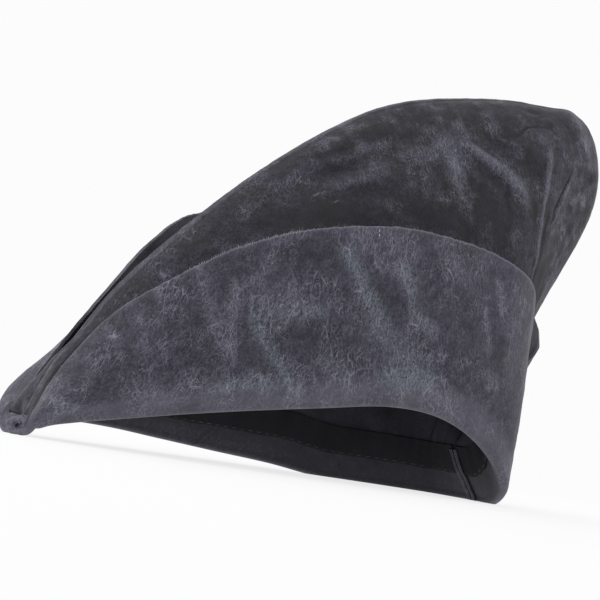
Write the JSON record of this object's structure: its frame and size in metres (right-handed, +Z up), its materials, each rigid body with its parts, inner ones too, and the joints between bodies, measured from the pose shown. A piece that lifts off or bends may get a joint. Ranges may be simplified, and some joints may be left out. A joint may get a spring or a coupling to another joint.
{
  "type": "pointed leather hat",
  "caption": "Pointed leather hat with a tall wedge crown sewn along its ridge and a deep brim folded up on both sides into wings.",
  "frame": {"origin": "middle of the bounding box, on the surface that the hat lies on", "axes": "+Z up, -Y towards the pointed front, +X towards the wearer's left"},
  "size_m": [0.1492, 0.395, 0.2712],
  "materials": {
    "crown_leather": "dark blue-grey waxed leather, creased, with pale scuffs",
    "brim_leather": "dark blue-grey waxed leather with a fine pale crackle and cloudy patches",
    "thread": "dark waxed sewing thread"
  },
  "bodies": {
    "root": {"crown_left": "crown_leather", "crown_right": "crown_leather", "brim_left": "brim_leather", "brim_right": "brim_leather"}
  },
  "joints": []
}
